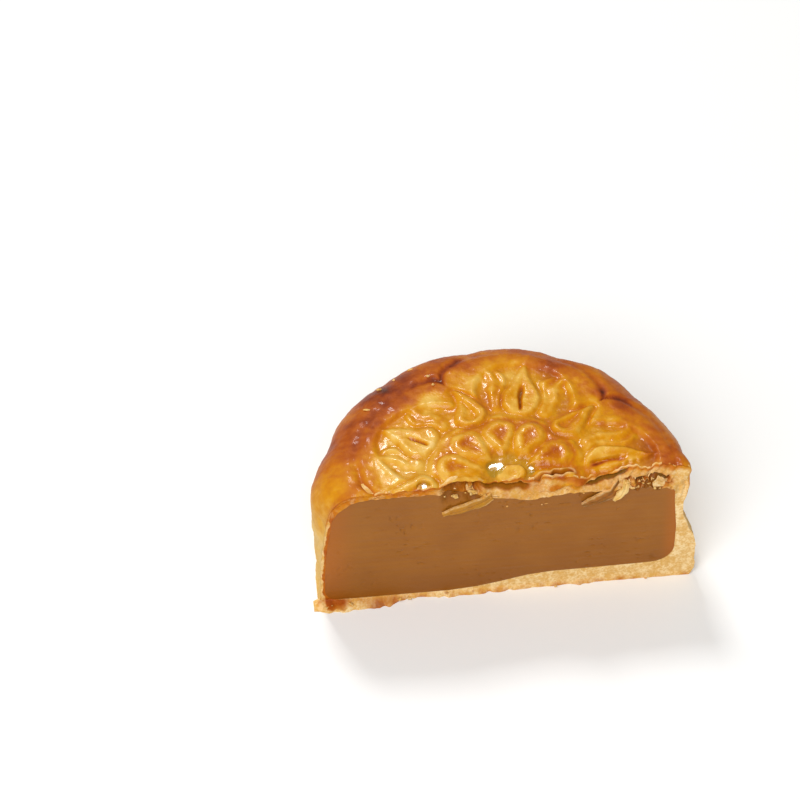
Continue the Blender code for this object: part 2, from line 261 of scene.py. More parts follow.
def drop_distance(along, across, start, start_radius, end, end_radius):
    """Signed distance to a drop, two circles on one line and their common tangents; negative inside."""
    length = end - start
    lean = (start_radius - end_radius) / length
    rise = math.sqrt(1 - lean * lean)
    forward, aside = along - start, np.abs(across)
    place = rise * forward - lean * aside
    flank = rise * aside + lean * forward - start_radius
    near_start = np.hypot(forward, aside) - start_radius
    near_end = np.hypot(forward - length, aside) - end_radius
    return np.where(place < 0, near_start, np.where(place > rise * length, near_end, flank))


def strip_distance(x, y, start, end):
    """Distance to the straight line between two points of the plan."""
    along = np.array(end, float) - start
    share = ((x - start[0]) * along[0] + (y - start[1]) * along[1]) / (along @ along)
    share = np.clip(share, 0, 1)
    return np.hypot(x - start[0] - share * along[0], y - start[1] - share * along[1])


print("distance from a drop's point:", float(drop_distance(np.array(0.0), np.array(0.0), 5.6, 0.4, 11.9, 3.2)))

# %% Heights of the carving


def plump(edge, height, soft, hollow):
    """A raised form: height inside its edge, rounded over twice soft, less a shallow hollow further in."""
    return height * smooth(soft, -1.8 * soft, edge) - hollow * smooth(-soft - 0.5, -soft - 2.6, edge)


def button(x, y):
    """The flower's middle: a dimpled knob in a sunken ring."""
    knob = np.hypot(x - 0.5, y + 0.9)
    radius = np.hypot(x, y)
    return 1.2 * smooth(3.4, 2.5, knob) - 0.5 * ridge(knob, 1.1) - 0.8 * smooth(7.0, 4.8, radius)


def seed_edge(radius, angle):
    """Signed distance to the nearest of ten drops round the middle, with a narrow groove between them."""
    return drop_distance(*sector(radius, angle, SEEDS, FIRST_SEED), 5.2, 0.5, 11.7, 3.35)


def slits(along, across):
    """1 in the slit down the middle of a petal."""
    return ridge(across, 0.42) * smooth(17.8, 19.0, along) * smooth(26.0, 24.0, along)


def lotus(radius, angle):
    """Five slit petals, each between two frilled side petals, in sunken arches with a soft rim."""
    along, across = sector(radius, angle, PETALS, FIRST_PETAL)
    arch = np.hypot(along - ARCH_MIDDLE, across) - ARCH_RADIUS
    inside = smooth(0.9, -0.7, arch) * smooth(16.0, 17.4, radius)
    petal = drop_distance(along, across, 21.0, 4.4, 32.0, 0.3)
    slit = slits(along, across)
    side = drop_distance(along - 18.9, np.abs(across) - 5.9 - 0.12 * (along - 18.9), 0.0, 1.7, 7.4, 2.9)
    frill = np.sin(1.9 * (np.abs(across) - 0.28 * along) + 1.8 * np.sin(0.55 * along))
    aside = plump(side, 0.75, 0.6, 0.15) + 0.3 * frill * smooth(0.4, -0.8, side) * smooth(20, 23, along)
    raised = plump(petal, 1.1, 0.5, 0.2) - 1.1 * slit + aside * smooth(0.2, 1.1, petal)
    rim = 0.4 * ridge(arch - 0.8, 1.1) * smooth(15.6, 17.6, radius) * smooth(32.0, 28.0, radius)
    return inside * (raised - 1.05) + rim - 0.45 * ridge(radius - 16.1, 0.8) * ridge(across, 3.6)


def leaves(radius, angle):
    """A plump leaf between two arches, hollow on one side: its height, and 1 where it covers the arches."""
    along, across = sector(radius, angle, PETALS, FIRST_PETAL + HALF_PETAL)
    edge = drop_distance(along, across, 18.4, 2.9, 26.4, 0.3)
    bowl = drop_distance(along, across - 0.8, 18.4, 1.3, 23.0, 0.2)
    height = plump(edge, 0.9, 0.5, 0.1) - 0.9 * smooth(0.6, -0.7, bowl) - 0.45 * ridge(edge - 0.8, 0.6)
    return height - 0.2, smooth(1.6, 0.3, edge)


def half_circle(angle):
    """The rise of a half-circle over each petal: 1 at its middle, 0 half-way to the next."""
    turn = from_middle(angle, PETALS, FIRST_PETAL) / HALF_PETAL
    return np.sqrt(np.clip(1 - turn * turn, 0, 1))


def arch_line(radius, angle):
    """The crease over the arches: a line at the notch radius plus a half-circle over each petal."""
    line = NOTCH_RADIUS + ARCH_RISE * half_circle(angle)
    turn = np.abs(from_middle(angle, PETALS, FIRST_PETAL) / HALF_PETAL)
    return -(0.22 + 0.35 * smooth(0.45, 0.95, turn)) * ridge(radius - line, 0.95)


def from_crack(x, y):
    """Distance to the crack that the knife opened in the top; its line wavers."""
    waver = 0.35 * wander(x, y, 0.0, 1.3, 40)
    return np.min([strip_distance(x, y + waver, *ends) for ends in CRACKS], axis=0)


def in_flower(x, y):
    """Places in the mould's own flat pattern: baking made its lines waver and drew the left of it in."""
    drawn_in = ARCH_SHIFT * ridge(x + 5, 6.5) * ridge(y - 21, 6.5)
    u = x - FLOWER[0] + 0.5 * wander(x, y, 0.0, 4.5, 11) + drawn_in
    v = y - FLOWER[1] + 0.5 * wander(x, y, 0.0, 4.5, 12)
    grown = 1 + 0.08 * smooth(17, 25, np.hypot(u, v)) * smooth(-8, -20, u)
    return u * grown, v * grown


def wet_pool(x, y, a, b, size):
    """1 in a pool of egg wash round (a, b), 0 outside it; its rim wavers."""
    distance = np.hypot(x - a, (y - b) * 1.15) + 0.35 * wander(x, y, 0.0, 1.4, 41)
    return smooth(1.2 * size, 0.7 * size, distance)


def all_pools(x, y):
    """1 in any of the pools of egg wash."""
    return sum(wet_pool(x, y, *pool[:3]) for pool in SHINES)


def relief(x, y):
    """Height of the flower over the plain top, in millimetres."""
    u, v = in_flower(x, y)
    radius, angle = np.hypot(u, v), np.arctan2(v, u)
    carved = button(u, v) + plump(seed_edge(radius, angle), 0.95, 0.6, 0.3) + lotus(radius, angle)
    risen = 0.58 + 0.16 * wander(x, y, 0.0, 8.0, 13)
    leaf, cover = leaves(radius, angle)
    height = risen * (carved + (leaf - carved) * cover) + arch_line(radius, angle) * (1 - cover)
    for a, b, size, lean in SHINES:
        level = 0.137 * (x - a) + lean * (y - b) - 0.45
        height = height + (level - height) * wet_pool(x, y, a, b, size)
    return height


sample = np.linspace(-30, 30, 241)
carving = relief(*np.meshgrid(sample, sample))
print("carving from", round(carving.min(), 2), "to", round(carving.max(), 2), "mm")

# %% [markdown]
# ## The body of the pastry
#
# The outside is one sheet: a profile runs out over the top, round the shoulder, down the side and
# in under the base, and it is carried round the back of the cake like a fan from one end of the
# cut to the other. The rows of points stay regular, so the same numbers carve the flower, crease
# the side between its lobes and colour the crust. The dimensions are the CAD model's.

# %% Dimensions
CAKE_RADIUS, CAKE_HEIGHT, CUT_Y = 41.0, 35.4, -2.5
DOME_RISE, DOME_RADIUS, PRESSED_DOWN = 0.9, 34.0, 1.3
LOBES, LOBE_DEPTH, FIRST_CREASE = 12, 0.9, math.radians(66.0)
PRESSED_IN, PRESSED_AT = 0.8, math.radians(22.0)
SHOULDER_RADIUS, TORN_SHOULDER_RADIUS = 9.0, 3.0
LEFT_END = ((0, -0.3), (10, -0.3), (15, -0.5), (20, -1.0), (25, -1.6), (36, -2.2))
LEFT_SIDE = ((0, -0.9), (5, -0.6), (10, -0.1), (20, 0.6), (28, 0.7), (36, 0.4))
RIGHT_END = (
    (0, -0.6), (2, 0.9), (4, 1.5), (10, 1.1), (14, 0.2),
    (17, -0.7), (20, -1.8), (26, -2.2), (32, -1.0), (36, -0.6),
)
TORN_BACK = (
    (-41, 0.1), (-16, 0.2), (-12, 1.1), (-8, 1.7), (4, 1.8), (7, 1.0),
    (16, 0.7), (19, 1.8), (26, 2.2), (36, 2.0), (41, 0.8),
)


def near_right(fan, width=0.2):
    """1 at the right end of the cut, fading away round the cake."""
    return ridge(fan, width)


def near_left(fan, width=0.45):
    """1 at the left end of the cut, fading away round the cake."""
    return ridge(math.pi - fan, width)


def plain_top(x, y):
    """A low dome, sunk in the middle of the cut where the knife pressed it."""
    dome = DOME_RISE * np.clip(1 - (x * x + y * y) / DOME_RADIUS**2, 0, 1)
    pressed = PRESSED_DOWN * ridge(y - CUT_Y, 5.0) * smooth(-14, -2, x) * smooth(32, 18, x)
    return CAKE_HEIGHT + dome - pressed


def creases(around):
    """1 in the crease between two lobes and 0 on the lobes' middles."""
    return 1 - np.abs(np.sin(LOBES * (around - FIRST_CREASE) / 2))


def reach(fan):
    """Distance from the middle of the cut to the side: the circle, less a crease between each two lobes."""
    plain = -CUT_Y * np.sin(fan) + np.sqrt(CAKE_RADIUS**2 - (CUT_Y * np.cos(fan)) ** 2)
    around = np.arctan2(plain * np.sin(fan) + CUT_Y, plain * np.cos(fan))
    return plain - LOBE_DEPTH * creases(around) - PRESSED_IN * ridge(around - PRESSED_AT, 0.4)


def wall_offset(fan, z):
    """How far the side stands out: a belly, sagging folds, and what the cut did at its two ends."""
    belly = 0.5 * np.sin(math.pi * z / CAKE_HEIGHT)
    folds = 0.35 * np.sin(0.45 * z + 2.2 * np.sin(3 * fan)) * smooth(28, 20, z)
    right, left, edge = near_right(fan), near_left(fan), near_left(fan, 0.09)
    plain = (belly + folds) * (1 - right) * (1 - left) + left * along_points(LEFT_SIDE, z)
    bumps = 0.45 * wander(z, 0.0, 0.0, 2.7, 30)
    return (1 - edge) * plain + right * (along_points(RIGHT_END, z) + bumps) + edge * along_points(LEFT_END, z)


def shoulder_radius(fan):
    """The top edge is well rounded except where the cut tore it, at the right."""
    return TORN_SHOULDER_RADIUS + (SHOULDER_RADIUS - TORN_SHOULDER_RADIUS) * smooth(0.0, 0.5, fan)


def torn_back(x, y):
    """How far the glazed top is torn back: a broken line across the cut, ragged at two sizes."""
    ragged = 0.45 * wander(x, 0.0, 0.0, 2.3, 21) + 0.3 * wander(x, 0.0, 0.0, 0.8, 22)
    back = along_points(TORN_BACK, x)
    return (back + ragged * np.clip(back, 0.15, 1)) * ridge(y - CUT_Y, 4.5)


def fan_points(fan, distance, z):
    """Points at a distance from the middle of the cut, in the direction fan, at height z."""
    return join(distance * np.cos(fan), CUT_Y + distance * np.sin(fan), z)


print("reach at the ends and back:", np.round(reach(np.array([0, math.pi / 2, math.pi])), 2))

# %% The outside sheet
TOP_RINGS, SHOULDER_RINGS, WALL_RINGS, FOOT_RINGS, BASE_RINGS = 150, 22, 38, 6, 6
FOOT_HEIGHT, CRACK_DEPTH, CRACK_LIP = 3.0, 1.3, 0.3


def skin(fan):
    """The outside for each direction: grids of its points, carved heights and distances to the crack."""
    fan = fan[:, None]
    edge, round_radius = reach(fan), shoulder_radius(fan)

    out = (edge - round_radius) * steps(TOP_RINGS)
    x, y = out * np.cos(fan), CUT_Y + out * np.sin(fan)
    carved_top = relief(x, y)
    split = from_crack(x, y)
    z = plain_top(x, y) + carved_top - CRACK_DEPTH * ridge(split, 0.34) + CRACK_LIP * ridge(split - 0.7, 0.5)
    top = fan_points(fan, out, z)

    tilt = np.linspace(0, math.pi / 2, SHOULDER_RINGS + 1)[1:]
    out = edge - round_radius * (1 - np.sin(tilt))
    x, y = out * np.cos(fan), CUT_Y + out * np.sin(fan)
    z = CAKE_HEIGHT - round_radius * (1 - np.cos(tilt))
    carved_side = relief(x, y) * np.cos(tilt) ** 0.5
    out = out + wall_offset(fan, z) * np.sin(tilt) ** 2 + carved_side * np.sin(tilt)
    shoulder = fan_points(fan, out, z + carved_side * np.cos(tilt))

    z = FOOT_HEIGHT + (CAKE_HEIGHT - round_radius - FOOT_HEIGHT) * np.linspace(1, 0, WALL_RINGS + 1)[1:]
    wall = fan_points(fan, edge + wall_offset(fan, z), z)

    z = np.broadcast_to(FOOT_HEIGHT * np.linspace(1, 0, FOOT_RINGS + 1)[1:], (len(fan), FOOT_RINGS))
    foot = fan_points(fan, edge + wall_offset(fan, z) + 0.5 * smooth(FOOT_HEIGHT, 0, z), z)

    out = (edge + wall_offset(fan, 0 * edge) + 0.5) * np.linspace(1, 0, BASE_RINGS + 1)[1:]
    base = fan_points(fan, out, 0 * out)

    carved = np.zeros((len(fan), WALL_RINGS + FOOT_RINGS + BASE_RINGS))
    carved = np.concatenate([carved_top, carved_side, carved], axis=1)
    split = np.pad(split, ((0, 0), (0, carved.shape[1] - split.shape[1])), constant_values=9.0)
    return np.concatenate([top, shoulder, wall, foot, base], axis=1), carved, split


FAN_STEPS = 320
outside, carved, split = skin(np.linspace(0, math.pi, FAN_STEPS + 1))
print("outside sheet:", outside.shape[:2], "points")

# %% [markdown]
# ## Wrinkles and the torn edge of the skin
#
# Dough is not a machined surface. A random field pushes it along its own normal: gentle swells,
# a skin of fine pimples and, down the side, soft folds. The normal of a grid is the cross product
# of its two directions. At the cut, the glazed skin is drawn back by a ragged amount.

# %% Wrinkle the skin


def grid_normals(grid):
    """Unit normals: the cross product of the differences along the two directions of the grid."""
    along = np.gradient(grid, axis=0)
    across = np.gradient(grid, axis=1)
    normal = np.cross(across, along)
    return normal / np.maximum(np.linalg.norm(normal, axis=-1, keepdims=True), 1e-9)


def wrinkled(grid):
    """Moves the sheet along its normals by swells, soft folds in the side and fine pimples; pools stay calm."""
    x, y, z = np.moveaxis(grid, -1, 0)
    around = np.arctan2(y, x) * 40
    side = smooth(33, 27, z) * smooth(0.5, 3, z)
    bent = around + 4.0 * wander(x, y, z, 7.0, 39) + 1.2 * wander(x, y, z, 2.6, 43)
    high = z + 2.2 * wander(x, y, z, 9.0, 42) + 0.5 * wander(x, y, z, 2.8, 44)
    folds = wander(bent, high * 2.2, 0.0, 13.0, 31)
    folds = 0.45 * ridge(folds, 0.3) * smooth(-0.4, 0.4, wander(bent, high, 0.0, 11.0, 33))
    folds = folds + 0.35 * ridge(wander(bent * 1.3, high * 2.2, 0.0, 7.0, 38), 0.16) * smooth(24, 15, z)
    swell = 0.16 * wander(x, y, z, 6.0, 32) + 0.1 * wander(x, y, z, 2.4, 34)
    pimples = 0.08 * wander(x, y, z, 1.1, 35) + 0.035 * wander(x, y, z, 0.6, 36)
    near_cut = smooth(0.0, 2.0, y - CUT_Y)
    base = smooth(0.0, 0.4, z)
    push = (swell + side * (0.25 * wander(around, z * 1.6, 0.0, 8.0, 37) - folds)) * near_cut + pimples
    calm = 1 - 0.85 * all_pools(x, y) * smooth(30, 32, z)
    return grid + grid_normals(grid) * (push * base * calm)[..., None]


outside = wrinkled(outside)
for end in (0, -1):
    outside[:, end] = outside[:, end].mean(axis=0)
outside[0, :, 1] = outside[-1, :, 1] = CUT_Y
topmost = smooth(CAKE_HEIGHT - 9, CAKE_HEIGHT - 2, outside[..., 2])
outside[..., 1] += torn_back(outside[..., 0], outside[..., 1]) * topmost
outside[:, 0] = outside[0, 0]
outside[:, -1] = outside[0, -1]
print("skin spans", np.round(outside.min(axis=(0, 1)), 2), "to", np.round(outside.max(axis=(0, 1)), 2))

# %% [markdown]
# ## The hollow and the paste's skin
#
# The inside of the pastry and the outside of the paste are the same surface. It follows the side
# at the pastry's thickness, and where it meets the cut it runs through outlines measured across
# the slice: the paste is highest at the left, dips where the knife pressed, and sits on a base
# crust that thickens to the right.

# %% The inner surface
PASTE_TOP = ((-28, 34.8), (-16, 34.8), (-9, 33.4), (0, 31.7), (5, 30.5), (13, 31.7), (30, 31.2), (37, 30.8))
PASTE_BOTTOM = ((-38, 1.0), (-12, 1.1), (-5, 1.8), (0, 3.0), (5, 4.3), (10, 4.9), (30, 5.2), (37, 5.6))
LEFT_PASTE = ((0, 1.2), (10, 1.3), (15, 1.5), (20, 2.0), (25, 2.7), (35, 3.2))
RIGHT_PASTE = ((0, 3.6), (17, 3.5), (26, 4.3), (35, 4.6))
INNER_CEILING, INNER_FLOOR, INNER_WALL, PASTE_FADE = 3.2, 2.6, 2.6, 0.35


def inner_wall(fan, z, inset):
    """How far out the hollow's side is: the outside less the pastry, whose thickness is measured at the cut."""
    right, left = near_right(fan, PASTE_FADE), near_left(fan, PASTE_FADE)
    torn = right * along_points(RIGHT_PASTE, z) + left * along_points(LEFT_PASTE, z)
    return reach(fan) - INNER_WALL * (1 - np.maximum(right, left)) - torn - inset


def inner_level(points, plain, fan, out):
    """Height of the hollow's roof or floor: an outline at the cut that fades into a plain level behind it."""
    x, y = out * np.cos(fan), CUT_Y + out * np.sin(fan)
    return plain + (along_points(points, x) - plain) * ridge(y - CUT_Y, 6.0)


def inner(fan, inset, rings):
    """The inner surface for each direction, shrunk by inset; rings counts the rows of its five stretches."""
    fan = fan[:, None]
    right, left = near_right(fan, PASTE_FADE), near_left(fan, PASTE_FADE)
    top_corner = 6.5 - 4.0 * right + 1.5 * left - inset
    low_corner = 4.0 + 1.0 * right - 1.0 * left - inset
    roof, base = (PASTE_TOP, CAKE_HEIGHT - INNER_CEILING, fan), (PASTE_BOTTOM, INNER_FLOOR, fan)

    out = (inner_wall(fan, CAKE_HEIGHT, inset) - top_corner) * steps(rings[0])
    z = inner_level(*roof, out) - inset
    top = fan_points(fan, out, z)
    tilt = math.pi / 2 * steps(rings[1])[1:]
    z_top = z[:, -1:] - top_corner
    z = z_top + top_corner * np.cos(tilt)
    shoulder = fan_points(fan, inner_wall(fan, z, inset) - top_corner * (1 - np.sin(tilt)), z)
    end = inner_wall(fan, 0 * fan, inset) - low_corner
    z_low = inner_level(*base, end) + inset + low_corner
    z = z_top + (z_low - z_top) * steps(rings[2])[1:]
    side = fan_points(fan, inner_wall(fan, z, inset), z)
    tilt = math.pi / 2 * steps(rings[3])[1:]
    z = z_low - low_corner * np.sin(tilt)
    corner = fan_points(fan, inner_wall(fan, z, inset) - low_corner * (1 - np.cos(tilt)), z)
    out = end * steps(rings[4])[::-1][1:]
    below = fan_points(fan, out, inner_level(*base, out) + inset)
    return np.concatenate([top, shoulder, side, corner, below], axis=1)


def dug(x, z):
    """How deep the knife dug out crumb and paste under the lifted skin, in millimetres."""
    depth = 0.95 + 0.5 * crumble(x, z * 1.4, 0.0, 1.9, 59)
    upper = smooth(30.8, 32.6, z + 0.8 * wander(x, 0.0, 0.0, 1.9, 58))
    return depth * smooth(-14.5, -12.4, x) * smooth(-4.6, -6.8, x) * upper


OUTER_RINGS, HOLLOW_STEPS = (TOP_RINGS, SHOULDER_RINGS, WALL_RINGS, FOOT_RINGS, BASE_RINGS), 24
hollow = inner(np.linspace(0, math.pi, HOLLOW_STEPS + 1), 0.0, OUTER_RINGS)
for end in (hollow[0], hollow[-1]):
    end[:, 1] += 1.2 * dug(end[:, 0], end[:, 2])
print("hollow:", hollow.shape[:2], "points")

# %% Turn grids of points into a mesh
SHARP_ANGLE = math.radians(62)


def grid_faces(first, rows, columns):
    """Quads of a grid of points numbered row by row from first."""
    corner = first + np.arange(rows - 1)[:, None] * columns + np.arange(columns - 1)
    return join(corner, corner + 1, corner + columns + 1, corner + columns).reshape(-1, 4)


def weld(points, quads):
    """Joins points within a ten-thousandth of a millimetre; a quad that lost a side becomes a triangle."""
    _, first, index = np.unique(np.round(points, 4), axis=0, return_index=True, return_inverse=True)
    quads = index.reshape(-1)[quads]
    doubled = quads == np.roll(quads, -1, axis=1)
    lost = doubled.sum(axis=1)
    return points[first], first, quads[lost == 0], quads[lost == 1][~doubled[lost == 1]].reshape(-1, 3)


def outward(points, quads, threes):
    """True when the faces point out: the sum of their tetrahedra with the origin is a positive volume."""
    threes = np.concatenate([quads[:, :3], quads[:, [0, 2, 3]], threes])
    a, b, c = (points[threes[:, k]] for k in range(3))
    return np.einsum("ij,ij->i", a, np.cross(b, c)).sum() > 0


def make_piece(name, grids, values, material):
    """A closed mesh from grids that meet along their edges; values has each attribute's numbers for each grid."""
    points = np.concatenate([grid.reshape(-1, 3) for grid in grids])
    faces, first = [], 0
    for grid in grids:
        faces.append(grid_faces(first, *grid.shape[:2]))
        first += grid.shape[0] * grid.shape[1]
    points, kept, quads, threes = weld(points, np.concatenate(faces))
    if not outward(points, quads, threes):
        quads, threes = quads[:, ::-1], threes[:, ::-1]
    mesh = bpy.data.meshes.new(name)
    mesh.from_pydata(points * MM, [], quads.tolist() + threes.tolist())
    for title, numbers in values.items():
        numbers = numbers if isinstance(numbers, (list, tuple)) else [numbers] * len(grids)
        parts = [np.broadcast_to(part, grid.shape[:2]).ravel() for part, grid in zip(numbers, grids)]
        numbers = np.concatenate(parts)[kept].astype(np.float32)
        mesh.attributes.new(title, "FLOAT", "POINT").data.foreach_set("value", numbers)
    mesh.shade_smooth()
    mesh.set_sharp_from_angle(angle=SHARP_ANGLE)
    mesh.materials.append(material)
    piece = bpy.data.objects.new(name, mesh)
    bpy.context.scene.collection.objects.link(piece)
    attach(piece, "root")
    print(name, len(points), "points", 2 * len(quads) + len(threes), "triangles")
    return piece


print("a 3 by 4 grid has", len(grid_faces(0, 3, 4)), "quads")

# %% [markdown]
# ## Shader maths
#
# A material is a small program made of nodes, and it reads best as ordinary arithmetic. The
# class below wraps one output socket, so that adding or multiplying two of them adds a Math node.
# Any other node comes from one function, which takes its type, its settings and its inputs.

# %% Sockets as numbers
MIX_SHARE, MIX_FIRST, MIX_SECOND, MIX_COLOUR = 0, 6, 7, 2


class Wire:
    """One output socket. Arithmetic on it adds Math nodes to the same material."""

    def __init__(self, tree, socket):
        self.tree, self.socket = tree, socket

    def math(self, operation, *values):
        """A Math node of this socket and the given numbers or wires."""
        return node(self.tree, "ShaderNodeMath", {"operation": operation}, dict(enumerate((self, *values))))

    def __add__(self, other):
        return self.math("ADD", other)

    def __sub__(self, other):
        return self.math("SUBTRACT", other)

    def __mul__(self, other):
        return self.math("MULTIPLY", other)

    def __rsub__(self, other):
        return (self * -1.0) + other

    __radd__, __rmul__ = __add__, __mul__

    def limit(self, low, high):
        """The value, kept between low and high."""
        return self.math("MAXIMUM", low).math("MINIMUM", high)

    def step(self, low, high):
        """The S-curve from 0 at low to 1 at high."""
        settings, inputs = {"interpolation_type": "SMOOTHSTEP"}, {"Value": self, "From Min": low, "From Max": high}
        return node(self.tree, "ShaderNodeMapRange", settings, inputs)


def plug(owner, name, value):
    """Links a Wire to a node's input, or sets the input to a number or colour."""
    if isinstance(value, Wire):
        value.tree.links.new(value.socket, owner.inputs[name])
    else:
        owner.inputs[name].default_value = value


def node(tree, kind, settings, inputs, output=0):
    """Adds a node with its settings and each input's value or link; returns one output as a Wire."""
    made = tree.nodes.new(kind)
    for name, value in settings.items():
        setattr(made, name, value)
    for name, value in inputs.items():
        plug(made, name, value)
    return Wire(tree, made.outputs[output])


def tint(red, green, blue):
    """A colour on a screen's scale, 0 to 255, as the linear values that shaders use, with alpha 1."""
    parts = np.array([red, green, blue]) / 255.0
    return (*np.where(parts <= 0.04045, parts / 12.92, ((parts + 0.055) / 1.055) ** 2.4), 1)


def blank(name):
    """A new material, its node tree and its Principled shader."""
    material = bpy.data.materials.new(name)
    material.use_nodes = True
    tree = material.node_tree
    return material, tree, tree.nodes["Principled BSDF"]


def attribute(tree, title):
    """The numbers stored on the mesh under a title."""
    return node(tree, "ShaderNodeAttribute", {"attribute_name": title}, {}, "Fac")


def noise(tree, size_mm, detail):
    """Random field on Object coordinates whose lumps are about size_mm across, 0 to 1."""
    place = node(tree, "ShaderNodeTexCoord", {}, {}, "Object")
    return node(tree, "ShaderNodeTexNoise", {}, {"Vector": place, "Scale": 1000.0 / size_mm, "Detail": detail})


def blend(tree, share, first, second):
    """Mixes two colours: the first where share is 0 and the second where it is 1."""
    inputs = {MIX_SHARE: share, MIX_FIRST: first, MIX_SECOND: second}
    return node(tree, "ShaderNodeMix", {"data_type": "RGBA"}, inputs, MIX_COLOUR)


def ramp(tree, value, stops):
    """A colour for a number between 0 and 1, blended between stops of a position and a colour."""
    made = tree.nodes.new("ShaderNodeValToRGB")
    elements = made.color_ramp.elements
    elements.remove(elements[-1])
    for index, (position, colour) in enumerate(stops):
        stop = elements[0] if index == 0 else elements.new(position)
        stop.position, stop.color = position, colour
    plug(made, "Fac", value)
    return Wire(tree, made.outputs[0])


def roughen(tree, shader, height, strength, depth):
    """A bump as deep as depth, in metres, on the shader's normal."""
    settings = {"Height": height, "Strength": strength, "Distance": depth}
    plug(shader, "Normal", node(tree, "ShaderNodeBump", {}, settings))


print("golden crust in linear values:", np.round(tint(220, 155, 60)[:3], 3))

# %% [markdown]
# ## Baked, glazed pastry
#
# What the oven does to the pastry is one number, how brown it is, and a colour ramp turns that
# number into pale dough, gold, orange brown and red brown. The number is stored on the mesh,
# because it follows the shape: the shoulder stands proud and browns most, the creases of the
# flower collect brown glaze, and the low side stays pale. Noise breaks it up. Egg wash makes the
# top glossy, which is a coat over the pastry, and it pools in the deep places with an olive tint.

# %% Material of the crust
OVEN_COLOURS = (
    (0.0, tint(236, 202, 134)), (0.2, tint(224, 174, 72)), (0.38, tint(208, 138, 0)), (0.55, tint(190, 106, 0)),
    (0.72, tint(168, 78, 0)), (0.88, tint(132, 50, 0)), (1.0, tint(88, 32, 4)),
)


def crust_material():
    """Browned dough under egg wash, or bare crumb where torn is 1."""
    material, tree, shader = blank("baked_crust")
    baked, pool, torn = attribute(tree, "baked"), attribute(tree, "pool"), attribute(tree, "torn")
    patches, mottle, grain = noise(tree, 6.0, 3.0), noise(tree, 1.6, 3.0), noise(tree, 0.45, 2.0)
    # baked and pool also carry painted shade: both are raised in the knife's crack and in the gaps and pits of the
    # torn edge.
    brown = baked + (patches - 0.5) * 0.34 + (mottle - 0.5) * 0.3
    oven = ramp(tree, brown, OVEN_COLOURS)
    glazed = blend(tree, pool * (0.75 + mottle * 0.5), oven, tint(160, 122, 14))
    dough = blend(tree, (grain * 0.5 + mottle * 0.5).step(0.38, 0.66), tint(222, 172, 92), tint(246, 216, 160))
    plug(shader, "Base Color", blend(tree, torn, glazed, dough))
    gloss = (1.0 - torn) * attribute(tree, "glaze")
    plug(shader, "Specular IOR Level", 0.2)
    plug(shader, "Roughness", (0.7 - gloss * 0.4 + (mottle - 0.5) * 0.2).limit(0.2, 0.9))
    wet = (patches * 0.6 + mottle * 0.8 - 0.5).limit(0.0, 0.5)
    plug(shader, "Coat Weight", (gloss * (wet * 1.2 + pool * 0.9)).limit(0.0, 1.0))
    plug(shader, "Coat Roughness", 0.12)
    roughen(tree, shader, grain * 0.35 + mottle * 0.65, 0.5, 0.0004)
    return material


crust = crust_material()
print("crust nodes:", len(crust.node_tree.nodes))

# %% How brown each point is
SHOULDER_FROM = 24

# Spots that browned more, or less, than what is round them: place (x, y), radius and amount.
SPOTS = (
    (-8.2, 32.6, 1.5, 0.26), (-6.2, 34.0, 1.2, 0.18), (-11.8, 29.6, 1.6, 0.14), (12.3, 29.2, 3.0, 0.3),
    (22.5, 21.5, 1.8, 0.14), (26.5, 17.5, 3.0, 0.14), (22.6, 12.4, 1.2, 0.2), (30.6, 4.6, 2.6, 0.26),
    (-23.0, 27.0, 5.0, 0.12), (-31.0, 13.0, 4.0, 0.08), (17.0, 31.0, 4.0, 0.1), (-3.0, 26.5, 4.0, -0.08),
)


def browning(grid, carved):
    """Browning, pooled glaze and gloss of the outside sheet, from each point's height, place and carving."""
    x, y, z = np.moveaxis(grid, -1, 0)
    u, v = in_flower(x, y)
    radius, around = np.hypot(u, v), np.arctan2(v, u)
    arch = half_circle(around)
    outer = smooth(-4.0, 2.5, radius - (NOTCH_RADIUS - 1 + 3.0 * arch))
    ring = [relief(x + 1.2 * math.cos(a), y + 1.2 * math.sin(a)) for a in np.arange(6) * math.pi / 3]
    hollowness = np.where(z > SHOULDER_FROM, np.mean(ring, axis=0) - carved, 0)
    slit = slits(*sector(radius, around, PETALS, FIRST_PETAL))
    seed = seed_edge(radius, around)
    brown = (
        0.36 + 0.27 * outer + 0.27 * np.clip(hollowness, -0.3, 0.8)
        + (1 - outer) * (0.04 * smooth(-4, 12, x) * smooth(24, 18, y) - 0.04 * smooth(-8, -16, x))
        + 0.1 * ridge(radius - (NOTCH_RADIUS + ARCH_RISE * arch), 1.0) * smooth(0.87, 0.3, arch)
        + sum(amount * ridge(np.hypot(x - a, y - b), size) for a, b, size, amount in SPOTS)
        + 0.45 * slit * (1 - 0.4 * smooth(-5, -12, x)) + 0.22 * smooth(-1.0, -2.6, seed)
        + 0.15 * smooth(0.0, 0.5, seed) * smooth(10.5, 13, radius) * smooth(16.5, 14.5, radius)
        + 0.2 * crumble(x, y, 0.0, 4.5, 53) + 0.08 * outer * smooth(5, -20, x)
        - 0.22 * smooth(-22, -34, x) * smooth(14, 0, y)
    )

    pale_end = 7.0 * smooth(-24, -38, x) * smooth(16, 2, y)
    side = smooth(31, 12, z + 3.0 * wander(x, y, z, 12.0, 52) - pale_end)
    place = np.arctan2(y, x)
    crease = creases(place) ** 2 * smooth(0.15, 0.4, np.sin(place))
    low = 0.1 + 0.2 * wander(x, y, z, 9.0, 51) - 0.1 * crease
    brown = np.where(z > SHOULDER_FROM, brown, 0.7) * (1 - side) + low * side

    pool = smooth(0.1, -1.1, carved) * smooth(17.5, 13.0, radius) + 0.35 * smooth(-0.35, -0.95, carved)
    pool = np.clip(pool + 0.7 * all_pools(x, y), 0, 0.8) * smooth(28, 32, z) * (1 - outer)
    glaze = smooth(8, 26, z) * (1 - 0.65 * outer)
    return brown, pool, glaze


